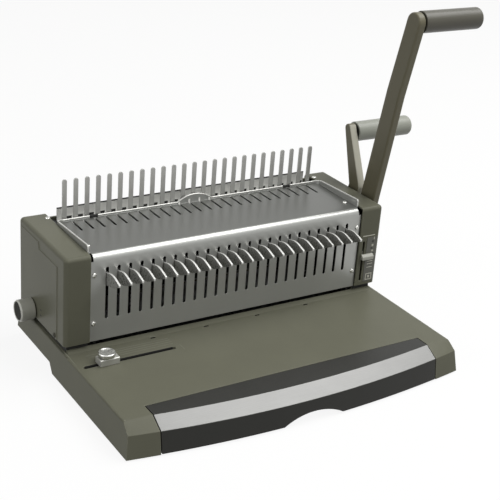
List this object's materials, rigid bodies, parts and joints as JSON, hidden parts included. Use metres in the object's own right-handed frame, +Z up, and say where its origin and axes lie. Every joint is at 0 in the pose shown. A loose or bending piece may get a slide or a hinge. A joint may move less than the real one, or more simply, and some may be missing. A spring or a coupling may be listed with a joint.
{
  "type": "comb binding machine",
  "caption": "Desktop comb binding machine: a long lever punches the sheets in the throat, a short lever opens the comb on the fingers, and a drawer catches the chips.",
  "frame": {"origin": "on the table at mid width, under the front face of the steel cover, at the middle foot", "axes": "+X to the operator's right (lever side), +Y to the back, +Z up"},
  "size_m": [0.5633, 0.3194, 0.4026],
  "materials": {
    "moulded_olive": "fine moulded grain",
    "lever_paint": "satin powder coat",
    "punch_grip_plastic": "fine moulded grain",
    "binding_grip_plastic": "fine moulded grain",
    "cover_steel": "brushed across the machine",
    "strip_steel": "brushed",
    "drawer_charcoal": "fine moulded grain",
    "drawer_silver": "satin silver",
    "finger_plastic": "satin",
    "selector_plastic": "fine moulded grain",
    "scale_print": "printed marks",
    "chrome": "polished",
    "screw_zinc": "bright zinc",
    "machined_steel": "ground",
    "tool_steel": "machined and oiled",
    "zinc_sheet": "zinc plated",
    "bush_bronze": "sintered bronze",
    "foot_rubber": "matte"
  },
  "bodies": {
    "frame": {"base_shell": "moulded_olive", "bottom_plate": "zinc_sheet", "rubber_feet": "foot_rubber", "steel_cover": "cover_steel", "end_cover_left": "moulded_olive", "end_cover_right": "moulded_olive", "rear_panel": "moulded_olive", "side_plate_left": "zinc_sheet", "side_plate_right": "zinc_sheet", "shaft_bushes": "bush_bronze", "gear_bracket": "zinc_sheet", "die_bar": "tool_steel", "guide_bar": "tool_steel", "throat_spacers": "tool_steel", "guide_posts": "machined_steel", "return_springs": "machined_steel", "comb_fingers": "finger_plastic", "finger_bar": "zinc_sheet", "rear_strip": "strip_steel", "selector_scale": "scale_print", "cover_screws": "screw_zinc", "panel_screws": "screw_zinc"},
    "punch_lever": {"punch_arm": "lever_paint", "punch_grip": "punch_grip_plastic", "punch_grip_rod": "chrome", "punch_hub_cap": "lever_paint", "punch_shaft": "machined_steel", "cranks": "tool_steel", "crank_rollers": "machined_steel"},
    "punch_bar": {"press_bar": "tool_steel", "clamp_strip": "tool_steel", "punch_pins": "machined_steel", "pin_pulls": "machined_steel", "yokes": "tool_steel"},
    "binding_lever": {"binding_arm": "lever_paint", "binding_grip": "binding_grip_plastic", "binding_grip_rod": "chrome", "binding_hub_cap": "lever_paint", "binding_shaft": "machined_steel", "binding_gear": "tool_steel"},
    "rake": {"rake_shaft": "machined_steel", "rake_gear": "tool_steel", "rake_hooks": "machined_steel"},
    "depth_control": {"depth_knob": "moulded_olive", "depth_shaft": "machined_steel", "eccentrics": "tool_steel"},
    "depth_stop": {"stop_plate": "zinc_sheet", "stop_ears": "zinc_sheet"},
    "size_selector": {"selector_tab": "selector_plastic"},
    "edge_stop": {"edge_guide": "machined_steel", "edge_clamp": "machined_steel"},
    "edge_screw": {"thumb_screw": "chrome"},
    "chip_drawer": {"drawer_front": "drawer_charcoal", "drawer_band": "drawer_silver", "drawer_tray": "drawer_charcoal"}
  },
  "joints": [
    {"name": "punch_lever_hinge", "type": "hinge", "parent": "frame", "child": "punch_lever", "pos_m": [0, 0.037, 0.112], "axis": [1, 0, 0], "range_deg": [0, 70], "stiffness_Nm_per_rad": 1.2, "springref_deg": -40.11},
    {"name": "punch_bar_slide", "type": "slide", "parent": "frame", "child": "punch_bar", "axis": [0, 0, -1], "range_m": [0, 0.0181], "deforming": ["return_springs"]},
    {"name": "binding_lever_hinge", "type": "hinge", "parent": "frame", "child": "binding_lever", "pos_m": [0, 0.08, 0.09117], "axis": [-1, 0, 0], "range_deg": [0, 56]},
    {"name": "rake_hinge", "type": "hinge", "parent": "frame", "child": "rake", "pos_m": [0, 0.065, 0.12], "axis": [1, 0, 0], "range_deg": [0, 35.1]},
    {"name": "depth_knob_hinge", "type": "hinge", "parent": "frame", "child": "depth_control", "pos_m": [0, 0.086, 0.0555], "axis": [1, 0, 0], "range_deg": [-60.5, 60.5]},
    {"name": "depth_stop_slide", "type": "slide", "parent": "frame", "child": "depth_stop", "axis": [0, 1, 0], "range_m": [-0.0026, 0.0026]},
    {"name": "size_selector_slide", "type": "slide", "parent": "frame", "child": "size_selector", "axis": [0, 0, 1], "range_m": [-0.031, 0.017]},
    {"name": "edge_stop_slide", "type": "slide", "parent": "frame", "child": "edge_stop", "axis": [1, 0, 0], "range_m": [-0.016, 0.075]},
    {"name": "edge_screw_hinge", "type": "hinge", "parent": "edge_stop", "child": "edge_screw", "pos_m": [-0.181, -0.038, 0.05], "axis": [0, 0, 1], "continuous": true},
    {"name": "chip_drawer_slide", "type": "slide", "parent": "frame", "child": "chip_drawer", "axis": [0, -1, 0], "range_m": [0, 0.15]}
  ],
  "couplings": [
    {"joint": "punch_bar_slide", "follows": "punch_lever_hinge", "m_per_rad": 0.014733},
    {"joint": "rake_hinge", "follows": "binding_lever_hinge", "ratio": 0.625},
    {"joint": "depth_knob_hinge", "follows": "depth_stop_slide", "rad_per_m": 403.07}
  ]
}
